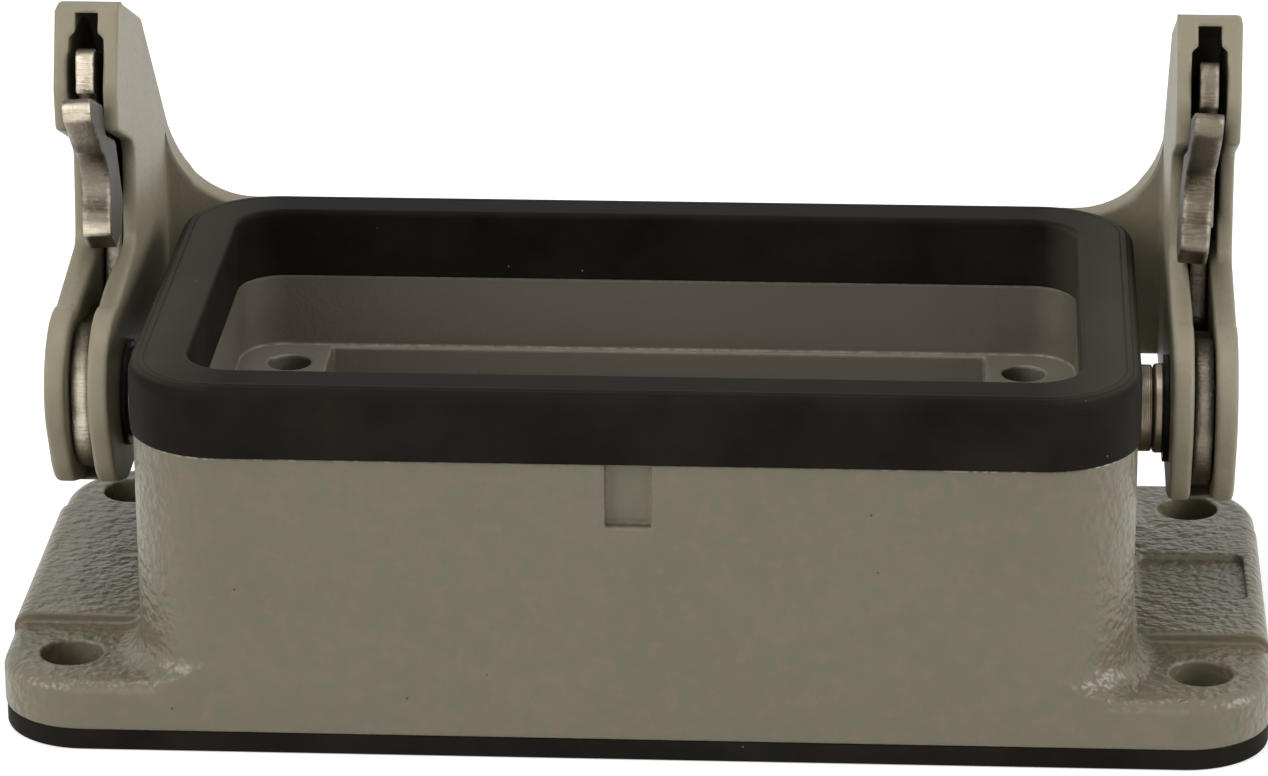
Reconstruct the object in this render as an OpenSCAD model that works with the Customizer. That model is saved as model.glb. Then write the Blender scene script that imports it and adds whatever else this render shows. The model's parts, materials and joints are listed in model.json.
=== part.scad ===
// Bulkhead base of a heavy duty rectangular connector, size 10 pattern, with one locking lever.
// Origin: centre of the mounting hole pattern, on the panel face. X runs along the long side,
// the lever's cross bar is on the +Y side and +Z points away from the panel.

/* [Flange] */
// How far a flange wing reaches beyond the body's end wall
wing_l = 10.2; // [9.4:0.1:13]
// Thickness of the cast flange at the screw seats
flange_t = 3.8; // [3:0.1:5]
// Corner radius of the flange
flange_corner_r = 6.5; // [5.5:0.1:7.5]
// Rounding of the flange's upper edge
flange_edge_r = 1.2; // [0.6:0.1:1.6]
// Distance from the body's end wall to a mounting hole's axis
mount_out = 5; // [4.6:0.1:5.4]
// Distance from the flange's long edge to a mounting hole's axis
mount_in = 5.5; // [5:0.1:6.5]
// Diameter of a mounting hole
mount_d = 4.6; // [4.3:0.1:5]
// How far the land between two screw seats stands up
land_h = 0.8; // [0.4:0.1:1.2]
// Distance from a mounting hole's axis to the edge of the land
land_gap = 5.2; // [4.6:0.1:6]
// How far the land is set back from the middle
land_shift = 0.2; // [0:0.1:0.6]
// Size of the bare marking recess in one land, along X
recess_l = 8; // [5:0.2:8.4]
// Size of the marking recess along Y
recess_w = 8.6; // [6:0.2:10]
// Depth of the marking recess
recess_depth = 0.45; // [0.2:0.05:0.6]

/* [Body] */
// Length of the body over its end walls
body_l = 73; // [66:0.5:90]
// Width of the body, flush with the flange's long edges
body_w = 43; // [40:0.5:48]
// Height of the casting from the flange face to the rim
body_h = 21.6; // [20:0.2:24]
// Corner radius of the body
body_corner_r = 7; // [6.4:0.1:8]
// Radius of the fillet between the body's ends and the flange
foot_fillet_r = 2; // [1.4:0.1:2.4]
// Thickness of the body's walls
wall_t = 4; // [3.8:0.1:4.4]
// Corner radius of the insert chamber
chamber_corner_r = 3.6; // [3:0.1:5]
// Depth of the insert seat below the rim
seat_depth = 5.8; // [5:0.1:7]
// Width of the narrow ledge that runs between the screw posts
seat_ledge = 0.5; // [0.3:0.1:1]
// Distance from the chamber's walls to the axis of an insert screw
insert_edge = 4; // [3.6:0.1:4.4]
// Thread core diameter of the insert screws
insert_d = 3.3; // [3:0.05:3.6]
// Length of a screw post along X
post_l = 7; // [6.4:0.1:8]
// Width of a screw post along Y
post_w = 8; // [7.4:0.1:9]
// Height of a screw post
post_h = 9; // [6:0.2:12]
// Width of the coding groove in the front wall
groove_w = 3.3; // [2:0.1:5]
// Height of the coding groove below the seal
groove_h = 4.9; // [3:0.1:7]
// Depth of the coding groove
groove_depth = 0.8; // [0.4:0.1:1.4]

/* [Seals] */
// Thickness of the flange gasket
gasket_t = 1.6; // [1:0.1:2.4]
// How far the gasket's outline is set back from the flange
gasket_inset = 0.1; // [0:0.05:0.6]
// Height of the rim seal above the rim
seal_h = 5.3; // [4.6:0.1:6.5]
// Thickness of the rim seal across its section
seal_t = 4.3; // [3.9:0.1:4.4]
// How far the rim seal stands out beyond the body
seal_proud = 0.2; // [0:0.05:0.4]
// Rounding of the seal's outer upper edge
seal_edge_r = 1; // [0.4:0.1:1.6]
// Rounding of the seal's inner upper edge
seal_inner_r = 0.4; // [0.2:0.05:0.8]
// Thickness of the casting's tongue inside the seal
tongue_t = 1.4; // [1:0.1:1.8]
// Height of the tongue above the rim
tongue_h = 3; // [2:0.1:3.6]
// Clearance between the tongue and the seal's groove
tongue_gap = 0.1; // [0.05:0.05:0.2]

/* [Lever] */
// Depth of the lever's axis below the rim
pivot_drop = 3.3; // [3:0.1:4]
// Gap between the end wall and the lever arm
arm_gap = 2.65; // [2.4:0.05:3]
// Thickness of an arm across X
arm_t = 4.75; // [4.5:0.05:5]
// Thickness of an arm's side walls beside the slot
arm_wall = 1.05; // [1:0.05:1.2]
// Thickness of the arm's side walls at the hub
hub_wall = 1.55; // [1.5:0.05:1.6]
// Thickness of the web that closes an arm at its back and top
arm_web = 1.3; // [1:0.05:1.6]
// Height of the arm's top above the axis
arm_h = 29.4; // [29:0.1:31]
// Radius of the hub behind and below the axis
hub_r = 6.7; // [6.6:0.05:7.2]
// Radius of the hub's front lobe
lobe_r = 5.6; // [5.2:0.1:6]
// Width of the guide throat at the top of the slot
throat_w = 1.75; // [1.6:0.05:2]
// Gap between the body's long wall and the cross bar
bar_gap = 2.6; // [2.4:0.1:4]
// Thickness of the cross bar
bar_t = 2.4; // [1.8:0.1:3]
// Height of the cross bar
bar_h = 11.5; // [9.4:0.1:12.4]
// How far the cross bar reaches below the axis
bar_drop = 4.8; // [3.4:0.1:5]
// Radius of the concave corner between an arm and the cross bar
bar_fillet_r = 6.9; // [4:0.1:7]

/* [Catches] */
// Thickness of a catch plate
plate_t = 1.35; // [1.2:0.05:1.4]
// Thickness of a catch's head, which takes the peg
head_t = 2.15; // [1.8:0.05:2.2]
// Lean of the head towards the housing
head_lean = 3.5; // [0:0.5:4]
// Radius of the eye around the pivot
eye_r = 5.8; // [5.4:0.1:5.9]
// Radius of the seat for the mating hood's peg
peg_seat_r = 2.7; // [2.5:0.1:2.9]
// Height of the peg seat above the axis
peg_h = 17.1; // [16.9:0.1:17.3]

/* [Pivots] */
// Gap between a pivot pin's shoulder and the rim seal above it
shoulder_gap = 0.05; // [0.05:0.05:0.3]
// Length of the shoulder outside the end wall
shoulder_l = 1.4; // [1.2:0.05:1.5]
// Diameter of the pin's journal
journal_d = 4.2; // [3.6:0.1:4.4]
// Length of the spigot pressed into the end wall
spigot_l = 3; // [2:0.1:3.4]
// Radial wall of the bush around the journal
bush_wall = 0.7; // [0.6:0.05:0.8]
// Radius of the bush's thin flange against the arm
bush_flange_r = 4; // [3.8:0.1:5]
// Thickness of the bush's flange
bush_flange_t = 0.4; // [0.3:0.05:0.5]
// Radial running clearance on the journal
run_gap = 0.05; // [0.03:0.01:0.08]
// Axial play beside the moving faces
side_gap = 0.05; // [0.03:0.01:0.1]

/* [Hidden] */
$fn = 48;
cast_grey = "#8b8672";
lever_grey = "#9a9684";
rubber_black = "#22211f";
steel = "#a39a88";
bronze = "#7d7264";
bush_black = "#161514";

flange_l = body_l + 2 * wing_l;
mount_x = body_l + 2 * mount_out;      // spacing of the mounting holes
mount_y = body_w - 2 * mount_in;
chamber_l = body_l - 2 * wall_t;
chamber_w = body_w - 2 * wall_t;
insert_x = chamber_l - 2 * insert_edge; // spacing of the insert screws
insert_y = chamber_w - 2 * insert_edge;
land_w = mount_y - 2 * land_gap;
bar_y = body_w / 2 + bar_gap;          // inner face of the lever's cross bar
flange_top = gasket_t + flange_t;      // level of the screw seats
rim_z = gasket_t + body_h;             // level of the rim, where the seal sits
seat_z = rim_z - seat_depth;           // level of the insert seat
axis_z = rim_z - pivot_drop;           // level of the lever's axis
wall_x = body_l / 2;                   // outer face of the end wall
arm_x = wall_x + arm_gap;              // inner face of a lever arm
corner_x = body_l / 2 - body_corner_r; // axes that the body, tongue and seal turn round
corner_y = body_w / 2 - body_corner_r;
over = 1;                              // how far a cutter passes a face
bite = 0.01;                           // how far a tangent edge is let into its circle

// ---- outlines ------------------------------------------------------------------------------

// Unit vector along v
function unit(v) = v / norm(v);

// Points of corner b between a and c, where b is [x, y, radius]
function corner(a, b, c, steps) =
    let (at = [b[0], b[1]],
         u = unit([a[0], a[1]] - at),
         v = unit([c[0], c[1]] - at),
         half = acos(u * v) / 2,
         centre = at + unit(u + v) * b[2] / sin(half),
         from = at + u * b[2] / tan(half) - centre,
         to = at + v * b[2] / tan(half) - centre,
         start = atan2(from[1], from[0]),
         turn = (atan2(to[1], to[0]) - start + 900) % 360 - 180)
    b[2] == 0 ? [at]
              : [for (k = [0:steps]) centre + b[2] * [cos(start + turn * k / steps),
                                                      sin(start + turn * k / steps)]];

// Outline through corners [x, y, radius]
function rounded(c, steps = 6) =
    [for (i = [0:len(c) - 1])
        each corner(c[(i + len(c) - 1) % len(c)], c[i], c[(i + 1) % len(c)], steps)];

// Flat rectangle with round corners
module round_rect(half_l, half_w, r) {
    square([2 * half_l, 2 * (half_w - r)], center = true);
    square([2 * (half_l - r), 2 * half_w], center = true);
    for (x = [-1, 1], y = [-1, 1])
        translate([x * (half_l - r), y * (half_w - r)]) circle(r);
}

// Sweeps a section round a rectangle whose corners turn on axes at (half_x, half_y).
// In the section, x is the distance out from those axes and y is the height.
module swept_round(half_x, half_y) {
    for (s = [0, 1]) {
        mirror([0, s, 0]) translate([-half_x, half_y, 0]) rotate([90, 0, 90])
            linear_extrude(2 * half_x) children();
        mirror([s, 0, 0]) translate([half_x, half_y, 0]) rotate([90, 0, 0])
            linear_extrude(2 * half_y) children();
    }
    for (x = [0, 1], y = [0, 1])
        mirror([x, 0, 0]) mirror([0, y, 0]) translate([half_x, half_y, 0])
            rotate_extrude(angle = 90) children();
}

// Extrudes a profile drawn in the Y-Z plane from x to x + t
module side_plate(x, t) {
    translate([x, 0, 0]) rotate([90, 0, 90]) linear_extrude(t) children();
}

// Round bar along X from x to x + l, on the lever's axis
module on_axis(x, l, r) {
    translate([x, 0, axis_z]) rotate([0, 90, 0]) cylinder(h = l, r = r);
}

module for_side(side) {
    mirror([side < 0 ? 1 : 0, 0, 0]) children();
}

// Block from z0 to z1 whose upper outer edge is rounded by edge
module block(half_l, half_w, r, z0, z1, edge) {
    swept_round(half_l - r, half_w - r)
        difference() {
            translate([0, z0]) square([r, z1 - z0]);
            translate([r - edge, z1 - edge]) difference() {
                square(edge + over);
                circle(edge);
            }
        }
    translate([r - half_l, r - half_w, z0]) cube([2 * (half_l - r), 2 * (half_w - r), z1 - z0]);
}

// Block between two levels with a round-cornered outline
module prism(half_l, half_w, r, z0, z1) {
    translate([0, 0, z0]) linear_extrude(z1 - z0) round_rect(half_l, half_w, r);
}

// ---- housing -------------------------------------------------------------------------------

side_y = body_w / 2;                   // outer face of the long walls
flange_x = flange_l / 2;               // outer end of a flange wing
land_top = flange_top + land_h;
lower_l = chamber_l / 2 - seat_ledge;  // half sizes of the opening below the insert seat
lower_w = chamber_w / 2 - seat_ledge;
lower_r = chamber_corner_r - seat_ledge;
recess_x = (wall_x + flange_x) / 2 - 0.3;
spigot_r = journal_d / 2 + 0.5;        // the pin's pressed end
press_gap = 0.02;                      // gap that keeps pressed faces from overlapping

module outline_at(inset, z0, z1) {
    prism(wall_x - inset, side_y - inset, body_corner_r - inset, z0, z1);
}

module tongue(grow) {
    middle = wall_t / 2;
    difference() {
        outline_at(middle - tongue_t / 2 - grow, rim_z - (grow > 0 ? over : 0.5),
                   rim_z + tongue_h + grow);
        outline_at(middle + tongue_t / 2 + grow, rim_z - 2 * over, rim_z + tongue_h + over);
    }
}

module lands() {
    intersection() {
        block(flange_x, side_y, flange_corner_r, gasket_t, land_top, flange_edge_r);
        for (s = [-1, 1])
            translate([s * (wall_x + flange_x) / 2, land_shift, land_top / 2])
                cube([flange_x - wall_x + 2 * over, land_w, land_top + 1], center = true);
    }
}

// Concave fillet round the ends of the body, cut off flush with the long walls
module foot_fillet() {
    intersection() {
        swept_round(corner_x, corner_y)
            difference() {
                translate([body_corner_r - over, flange_top - over])
                    square([over + foot_fillet_r, over + foot_fillet_r]);
                translate([body_corner_r + foot_fillet_r, flange_top + foot_fillet_r])
                    circle(foot_fillet_r);
            }
        difference() {
            translate([-flange_x, -side_y, 0]) cube([flange_l, body_w, rim_z]);
            for (x = [0, 1], y = [0, 1])
                mirror([x, 0, 0]) mirror([0, y, 0]) runout();
        }
    }
}

// Lets the flange's rounded edge run out up the fillet, beside the body's corner
module runout() {
    reach = body_corner_r + foot_fillet_r;
    start = corner_x + sqrt(reach * reach - body_corner_r * body_corner_r);
    translate([start, side_y - flange_edge_r, flange_top]) rotate([0, 42, 0])
        translate([-9, 0, 0]) rotate([90, 0, 90]) linear_extrude(18) difference() {
            translate([0, -flange_edge_r]) square([flange_edge_r + 2, flange_edge_r + 6]);
            translate([0, -flange_edge_r]) circle(flange_edge_r);
        }
}

module insert_posts() {
    for (x = [-1, 1], y = [-1, 1])
        translate([x * (chamber_l / 2 - post_l / 2 + over), y * (chamber_w / 2 - post_w / 2 + over),
                   seat_z - post_h / 2])
            cube([post_l + 2 * over, post_w + 2 * over, post_h], center = true);
}

module housing() {
    color(cast_grey) difference() {
        union() {
            block(flange_x, side_y, flange_corner_r, gasket_t, flange_top, flange_edge_r);
            lands();
            foot_fillet();
            outline_at(0, gasket_t, rim_z);
            tongue(0);
        }
        prism(chamber_l / 2, chamber_w / 2, chamber_corner_r, seat_z, rim_z + seal_h);
        difference() {
            prism(lower_l, lower_w, lower_r, gasket_t - over, seat_z + over);
            insert_posts();
        }
        for (x = [-1, 1], y = [-1, 1]) {
            translate([x * mount_x / 2, y * mount_y / 2, 0]) cylinder(h = land_top + over, d = mount_d);
            translate([x * insert_x / 2, y * insert_y / 2, seat_z - post_h + 1])
                cylinder(h = post_h, d = insert_d);
        }
        translate([-groove_w / 2, -side_y - over, rim_z - groove_h])
            cube([groove_w, groove_depth + over, groove_h + over]);
        marking_recess();
        for (side = [-1, 1])
            for_side(side) on_axis(wall_x - spigot_l - 0.1, spigot_l + over, spigot_r + press_gap);
    }
}

module marking_recess() {
    translate([recess_x, land_shift + 0.15, 0])
        prism(recess_l / 2, recess_w / 2, 0.8, land_top - recess_depth, land_top + over);
}

// ---- seals ---------------------------------------------------------------------------------

module rim_seal() {
    top = rim_z + seal_h;
    inner_l = wall_x + seal_proud - seal_t;
    inner_w = side_y + seal_proud - seal_t;
    color(rubber_black) difference() {
        block(wall_x + seal_proud, side_y + seal_proud, body_corner_r + seal_proud,
              rim_z, top, seal_edge_r);
        prism(inner_l, inner_w, chamber_corner_r, rim_z - over, top + over);
        swept_round(inner_l - chamber_corner_r, inner_w - chamber_corner_r)
            translate([chamber_corner_r - over, top - seal_inner_r]) difference() {
                square([over + seal_inner_r, over + seal_inner_r]);
                translate([over + seal_inner_r, 0]) circle(seal_inner_r);
            }
        tongue(tongue_gap);
    }
}

module flange_gasket() {
    color(rubber_black) difference() {
        prism(flange_x - gasket_inset, side_y - gasket_inset, flange_corner_r - gasket_inset,
              0, gasket_t);
        prism(chamber_l / 2, chamber_w / 2, chamber_corner_r, -over, gasket_t + over);
        for (x = [-1, 1], y = [-1, 1])
            translate([x * mount_x / 2, y * mount_y / 2, -over])
                cylinder(h = gasket_t + 2 * over, d = mount_d);
    }
}

// ---- lever ---------------------------------------------------------------------------------
// Side profiles are drawn as [y, z] seen along X, with the lever's axis at [0, 0].

lobe_at = [-4.2, 2.5];                 // centre of the hub's front lobe
low_at = [-3.4, -0.6];                 // centre of the bulge under the lobe
low_r = lobe_r - 0.6;
bar_back = bar_y + bar_t;              // outer face of the cross bar
slot_mid = arm_x + arm_t / 2;          // middle of the slot in an arm
slot_floor = -hub_r + 0.5;
arm_end = arm_x + arm_t;

// Points where circles a and b are touched by their common tangent on side s
function tangent(a, ra, b, rb, s) =
    let (d = b - a,
         t = atan2(d[1], d[0]) + s * acos((ra - rb) / norm(d)),
         out = [cos(t), sin(t)])
    [a + (ra - bite) * out, b + max(0, rb - bite) * out];

hub_under = tangent([0, 0], hub_r, [bar_back, -bar_drop], 0, -1);
hub_low = tangent([0, 0], hub_r, low_at, low_r, 1);
hub_front = tangent(low_at, low_r, lobe_at, lobe_r, 1);
hub_top = tangent([0, 0], hub_r, lobe_at, lobe_r, -1);

// Outline of an arm behind and above its hub
arm_corners = [
    [bar_back, -bar_drop, 1],
    [bar_back, 11.9, 4],
    [14.1, arm_h - 4.2, 1],
    [4.4, arm_h, 1.5],
    [2.9, arm_h, 0.6],
    [0.35, 23.8, 3],
    [0.55, 20.5, 0.5],
    [8.4, 17, 2.2],
    [7.4, 9.45, 1.2],
    [hub_top[1][0], hub_top[1][1], 0],
    [lobe_at[0], lobe_at[1], 0],
    [0, 0, 0],
    [hub_under[0][0], hub_under[0][1], 0]
];

module arm_outline() {
    polygon(rounded(arm_corners));
    circle(hub_r);
    translate(lobe_at) circle(lobe_r);
    translate(low_at) circle(low_r);
    polygon([hub_low[0], hub_low[1], hub_front[0], hub_front[1], hub_top[1], hub_top[0], [0, 0]]);
}

// Room inside an arm, open to the front
module slot_outline() {
    polygon(rounded([
        [-20, slot_floor, 0],
        [0, slot_floor, 0],
        [bar_y - arm_web, -bar_drop + 0.9, 1],
        [bar_y - arm_web, 14, 2],
        [12.4, arm_h - 4.2, 1],
        [4.1, arm_h - 0.4, 0],
        [-20, arm_h - 0.4, 0]
    ]));
}

// Width of the slot at each height: narrow at the hub, and a throat under the top
module slot_section() {
    hub_half = arm_t / 2 - hub_wall;
    full_half = arm_t / 2 - arm_wall;
    throat = arm_h - 1.75;
    polygon([
        [-hub_half, slot_floor - over], [hub_half, slot_floor - over],
        [hub_half, 8.2], [full_half, 8.8],
        [full_half, throat - 0.4], [throat_w / 2, throat],
        [throat_w / 2, arm_h], [-throat_w / 2, arm_h],
        [-throat_w / 2, throat], [-full_half, throat - 0.4],
        [-full_half, 8.8], [-hub_half, 8.2]
    ]);
}

module arm() {
    difference() {
        translate([0, 0, axis_z]) difference() {
            side_plate(arm_x, arm_t) arm_outline();
            intersection() {
                side_plate(arm_x - over, arm_t + 2 * over) slot_outline();
                translate([slot_mid, 40, 0]) rotate([90, 0, 0]) linear_extrude(80) slot_section();
            }
        }
        on_axis(arm_x - over, hub_wall + 2 * over, sleeve_r + press_gap);
        on_axis(slot_mid, pin_end - slot_mid + side_gap, journal_d / 2 + run_gap);
    }
}

// Cross bar, flush with the arms' backs, with concave corners up to the arms
module cross_bar() {
    top = bar_h - bar_drop;
    flat_half = arm_x - bar_fillet_r + 5 * bite;
    translate([0, 0, axis_z]) intersection() {
        side_plate(-arm_x - 0.5, 2 * arm_x + 1) intersection() {
            arm_outline();
            polygon(rounded([[bar_y, -bar_drop, 0.4], [bar_back + over, -bar_drop, 0],
                             [bar_back + over, 25, 0], [bar_y, 25, 0]]));
        }
        translate([0, 40, 0]) rotate([90, 0, 0]) linear_extrude(40) difference() {
            translate([-arm_x - over, -bar_drop - over])
                square([2 * (arm_x + over), bar_h + over + bar_fillet_r]);
            translate([-flat_half, top]) square([2 * flat_half, bar_fillet_r + 2 * over]);
            for (s = [-1, 1])
                translate([s * flat_half, top + bar_fillet_r]) circle(bar_fillet_r);
        }
    }
}

module lever_frame() {
    color(lever_grey) {
        for (side = [-1, 1]) for_side(side) arm();
        cross_bar();
    }
}

// ---- catch plates --------------------------------------------------------------------------

seat_at = [-3, peg_h];                 // centre of the peg seat
plate_x = slot_mid - plate_t / 2;
head_x = slot_mid - head_t / 2 - 0.2;

// Flat part of a catch: eye, stem and upper tab, all inside the arm's slot
module plate_outline() {
    circle(eye_r);
    translate(0.8 * lobe_at) circle(eye_r - 1.3);
    translate([-2.6, 0.6]) circle(eye_r - 0.6);
    polygon(rounded([
        [0.35, 23.5, 0.2],
        [0.95, arm_h - 2.5, 0.8],
        [5.5, 25, 1.5],
        [13.4, 21.6, 2],
        [17.4, 14, 3],
        [16, 1.6, 5],
        [5, -3.2, 0],
        [0, 0, 0],
        [2.4, 4.9, 0],
        [9.9, 2.6, 1.5],
        [12, 10.4, 1.5],
        [8.5, 12.7, 0.8],
        [3, 13.2, 0],
        [2.4, 19.6, 0],
        [1.7, 22.6, 0.3]
    ]));
}

// Head that holds the peg of the mating hood
module head_outline() {
    polygon(rounded([
        [-5.1, 24.9, 0.6],
        [0.1, 22.6, 0],
        [0.1, 20.3, 0],
        [3.9, 18.6, 0.5],
        [4.6, 13.7, 1],
        [2.8, 11.8, 0.8],
        [0, 11.4, 0.5],
        [-2, 13.15, 0.5],
        [-1.2, 16, 0],
        [-1.1, 18.6, 0],
        [-5.1, 23.1, 0.6]
    ]));
}

module catch_plate(side) {
    color(steel) for_side(side) difference() {
        translate([0, 0, axis_z]) difference() {
            union() {
                side_plate(plate_x, plate_t) plate_outline();
                translate([slot_mid, 0, 24]) rotate([0, head_lean, 0])
                    translate([-slot_mid, 0, -24]) side_plate(head_x, head_t) head_outline();
            }
            side_plate(arm_x - over, arm_t) translate(seat_at) circle(peg_seat_r);
        }
        on_axis(arm_x, arm_t, journal_d / 2 + run_gap);
    }
}

module catch_plate_left() {
    catch_plate(-1);
}

module catch_plate_right() {
    catch_plate(1);
}

// ---- pivots --------------------------------------------------------------------------------

sleeve_r = journal_d / 2 + run_gap + bush_wall; // the bush's end in the arm
shoulder_d = 2 * (pivot_drop - shoulder_gap);
shoulder_end = wall_x + shoulder_l;
pin_end = arm_end - hub_wall + 0.9;
collar_r = shoulder_d / 2 + 0.1;

module pivot_pin(side) {
    color(bronze) for_side(side) {
        on_axis(wall_x - spigot_l, spigot_l + 0.5, spigot_r);
        on_axis(wall_x, shoulder_l, shoulder_d / 2);
        on_axis(shoulder_end - 0.5, pin_end - shoulder_end + 0.5, journal_d / 2);
    }
}

// Flanged bush: a round collar between the pin's shoulder and the arm, with a sleeve in the arm
module pivot_bush(side) {
    start = shoulder_end + side_gap;
    color(bush_black) for_side(side) translate([0, 0, axis_z]) rotate([0, 90, 0])
        rotate_extrude() difference() {
            union() {
                translate([0, start]) square([collar_r - 0.3, arm_x - start]);
                translate([0, start + 0.3]) square([collar_r, arm_x - start - 0.3]);
                translate([collar_r - 0.3, start + 0.3]) circle(0.3);
                translate([0, arm_x - bush_flange_t]) square([bush_flange_r, bush_flange_t]);
                translate([0, arm_x - 0.5]) square([sleeve_r, hub_wall + 0.5]);
            }
            translate([-over, start - over])
                square([over + journal_d / 2 + run_gap, arm_t + 2 * over]);
        }
}

module pivot_pin_left() {
    pivot_pin(-1);
}

module pivot_pin_right() {
    pivot_pin(1);
}

module pivot_bush_left() {
    pivot_bush(-1);
}

module pivot_bush_right() {
    pivot_bush(1);
}

housing();
rim_seal();
flange_gasket();
lever_frame();
catch_plate_left();
catch_plate_right();
pivot_pin_left();
pivot_pin_right();
pivot_bush_left();
pivot_bush_right();
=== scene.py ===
import json
import math

import bpy
from mathutils import Matrix, Vector


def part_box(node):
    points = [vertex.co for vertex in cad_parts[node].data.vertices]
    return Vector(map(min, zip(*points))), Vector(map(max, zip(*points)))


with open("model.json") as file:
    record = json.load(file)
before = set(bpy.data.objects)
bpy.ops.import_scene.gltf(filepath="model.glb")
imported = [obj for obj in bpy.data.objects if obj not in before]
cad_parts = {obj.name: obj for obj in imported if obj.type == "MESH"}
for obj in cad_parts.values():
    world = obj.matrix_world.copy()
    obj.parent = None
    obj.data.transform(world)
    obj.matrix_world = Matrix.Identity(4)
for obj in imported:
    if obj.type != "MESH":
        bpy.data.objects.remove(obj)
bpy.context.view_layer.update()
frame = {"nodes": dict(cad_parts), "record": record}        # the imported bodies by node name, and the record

mm = 0.001
nodes = frame["nodes"]
scene = bpy.context.scene


# node helpers

def put(tree, kind, props=None, **sockets):
    # adds a node, sets its properties, then fills or links its inputs by name
    node = tree.nodes.new("ShaderNode" + kind)
    for key, value in (props or {}).items():
        setattr(node, key, value)
    for key, value in sockets.items():
        feed(tree, node, key.replace("_", " "), value)
    return node


def feed(tree, node, key, value):
    # a key such as i0 gives the input by its number
    socket = node.inputs[int(key[1:])] if key[0] == "i" and key[1:].isdigit() else node.inputs[key]
    if isinstance(value, bpy.types.NodeSocket):
        tree.links.new(value, socket)
    elif isinstance(value, tuple) and len(value) == 3 and socket.type == "RGBA":
        socket.default_value = (*value, 1)
    else:
        socket.default_value = value


def calc(tree, how, a, b=0.0, clamp=False):
    return put(tree, "Math", {"operation": how, "use_clamp": clamp}, i0=a, i1=b).outputs[0]


def ramp(tree, value, low, high, outLow=0.0, outHigh=1.0):
    node = put(tree, "MapRange", {"clamp": True}, Value=value)
    for key, number in zip(("From Min", "From Max", "To Min", "To Max"),
                           (low, high, outLow, outHigh)):
        node.inputs[key].default_value = number
    return node.outputs[0]


def stripe(tree, value, middle, half, blur):
    # 1 within half of the middle value, fading to 0 over blur
    off = calc(tree, "ABSOLUTE", calc(tree, "SUBTRACT", value, middle))
    return ramp(tree, off, half, half + blur, 1.0, 0.0)


def mixColour(tree, factor, a, b):
    node = put(tree, "Mix", {"data_type": "RGBA"})
    for index, value in ((0, factor), (6, a), (7, b)):  # its factor and its two colours
        if isinstance(value, bpy.types.NodeSocket):
            tree.links.new(value, node.inputs[index])
        else:
            node.inputs[index].default_value = (*value, 1) if isinstance(value, tuple) else value
    return node.outputs[2]


def newGroup(name, inputs, outputs):
    tree = bpy.data.node_groups.new(name, "ShaderNodeTree")
    for label, kind, value in inputs:
        socket = tree.interface.new_socket(label, in_out="INPUT", socket_type="NodeSocket" + kind)
        if value is not None:
            socket.default_value = value
    for label, kind in outputs:
        tree.interface.new_socket(label, in_out="OUTPUT", socket_type="NodeSocket" + kind)
    return tree, tree.nodes.new("NodeGroupInput").outputs, tree.nodes.new("NodeGroupOutput").inputs


def place(tree, group, **sockets):
    node = tree.nodes.new("ShaderNodeGroup")
    node.node_tree = group
    for key, value in sockets.items():
        feed(tree, node, key.replace("_", " "), value)
    return node.outputs


def noise(tree, where, scale, detail, rough):
    return put(tree, "TexNoise", None, Vector=where, Scale=scale, Detail=detail,
               Roughness=rough).outputs["Fac"]


# shared effects
# in every look a noise is listed as its scale, detail and roughness, and a ramp as the two
# values that it runs between, followed by what it gives at them where that isn't 0 and 1

effectLook = {
    "grainDetail": 1.5,
    "swellDetail": 2.0,
    "skinRoughness": 0.5,
    "pits": (0.32, 0.45, 1.0, 0.0),
    "bevelSamples": 6,
    "bend": (0.985, 0.8),
    "breakUpDetail": 3.0,
    "breakUpRoughness": 0.6,
    "breakUp": (0.38, 0.6),
    "patchDetail": 4.0,
    "patchRoughness": 0.6,
    "patches": (0.3, 0.7),
    "speckBlur": 0.4,
}


def makeSkinGroup():
    # the skin of a coat or a moulding: cells of grain on a soft swell
    tree, given, out = newGroup(
        "surfaceGrain",
        [("Where", "Vector", None), ("Grain", "Float", 1500.0), ("Swell", "Float", 250.0),
         ("Share", "Float", 0.7)],
        [("Height", "Float"), ("Pits", "Float")])
    look = effectLook
    fine = noise(tree, given["Where"], given["Grain"], look["grainDetail"], look["skinRoughness"])
    broad = noise(tree, given["Where"], given["Swell"], look["swellDetail"], look["skinRoughness"])
    left = calc(tree, "SUBTRACT", 1.0, given["Share"])
    both = calc(tree, "ADD", calc(tree, "MULTIPLY", fine, given["Share"]),
                calc(tree, "MULTIPLY", broad, left))
    tree.links.new(both, out["Height"])
    tree.links.new(ramp(tree, fine, *look["pits"]), out["Pits"])
    return tree


def makeEdgeGroup():
    # rounded corners, and a mask of where they are
    tree, given, out = newGroup(
        "softEdges",
        [("Where", "Vector", None), ("Reach", "Float", 0.0003), ("Break up", "Float", 900.0)],
        [("Normal", "Vector"), ("Edge", "Float")])
    look = effectLook
    bevel = put(tree, "Bevel", {"samples": look["bevelSamples"]}, Radius=given["Reach"])
    flat = put(tree, "NewGeometry").outputs["Normal"]
    turn = put(tree, "VectorMath", {"operation": "DOT_PRODUCT"})
    tree.links.new(bevel.outputs[0], turn.inputs[0])
    tree.links.new(flat, turn.inputs[1])
    bend = ramp(tree, turn.outputs["Value"], *look["bend"])
    broken = noise(tree, given["Where"], given["Break up"], look["breakUpDetail"],
                   look["breakUpRoughness"])
    patchy = ramp(tree, broken, *look["breakUp"])
    tree.links.new(bevel.outputs[0], out["Normal"])
    tree.links.new(calc(tree, "MULTIPLY", bend, patchy), out["Edge"])
    return tree


def makeStainGroup():
    # slow patches of tone
    tree, given, out = newGroup(
        "tonePatches",
        [("Where", "Vector", None), ("Patch", "Float", 90.0)],
        [("Patches", "Float")])
    look = effectLook
    slow = noise(tree, given["Where"], given["Patch"], look["patchDetail"], look["patchRoughness"])
    tree.links.new(ramp(tree, slow, *look["patches"]), out["Patches"])
    return tree


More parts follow.
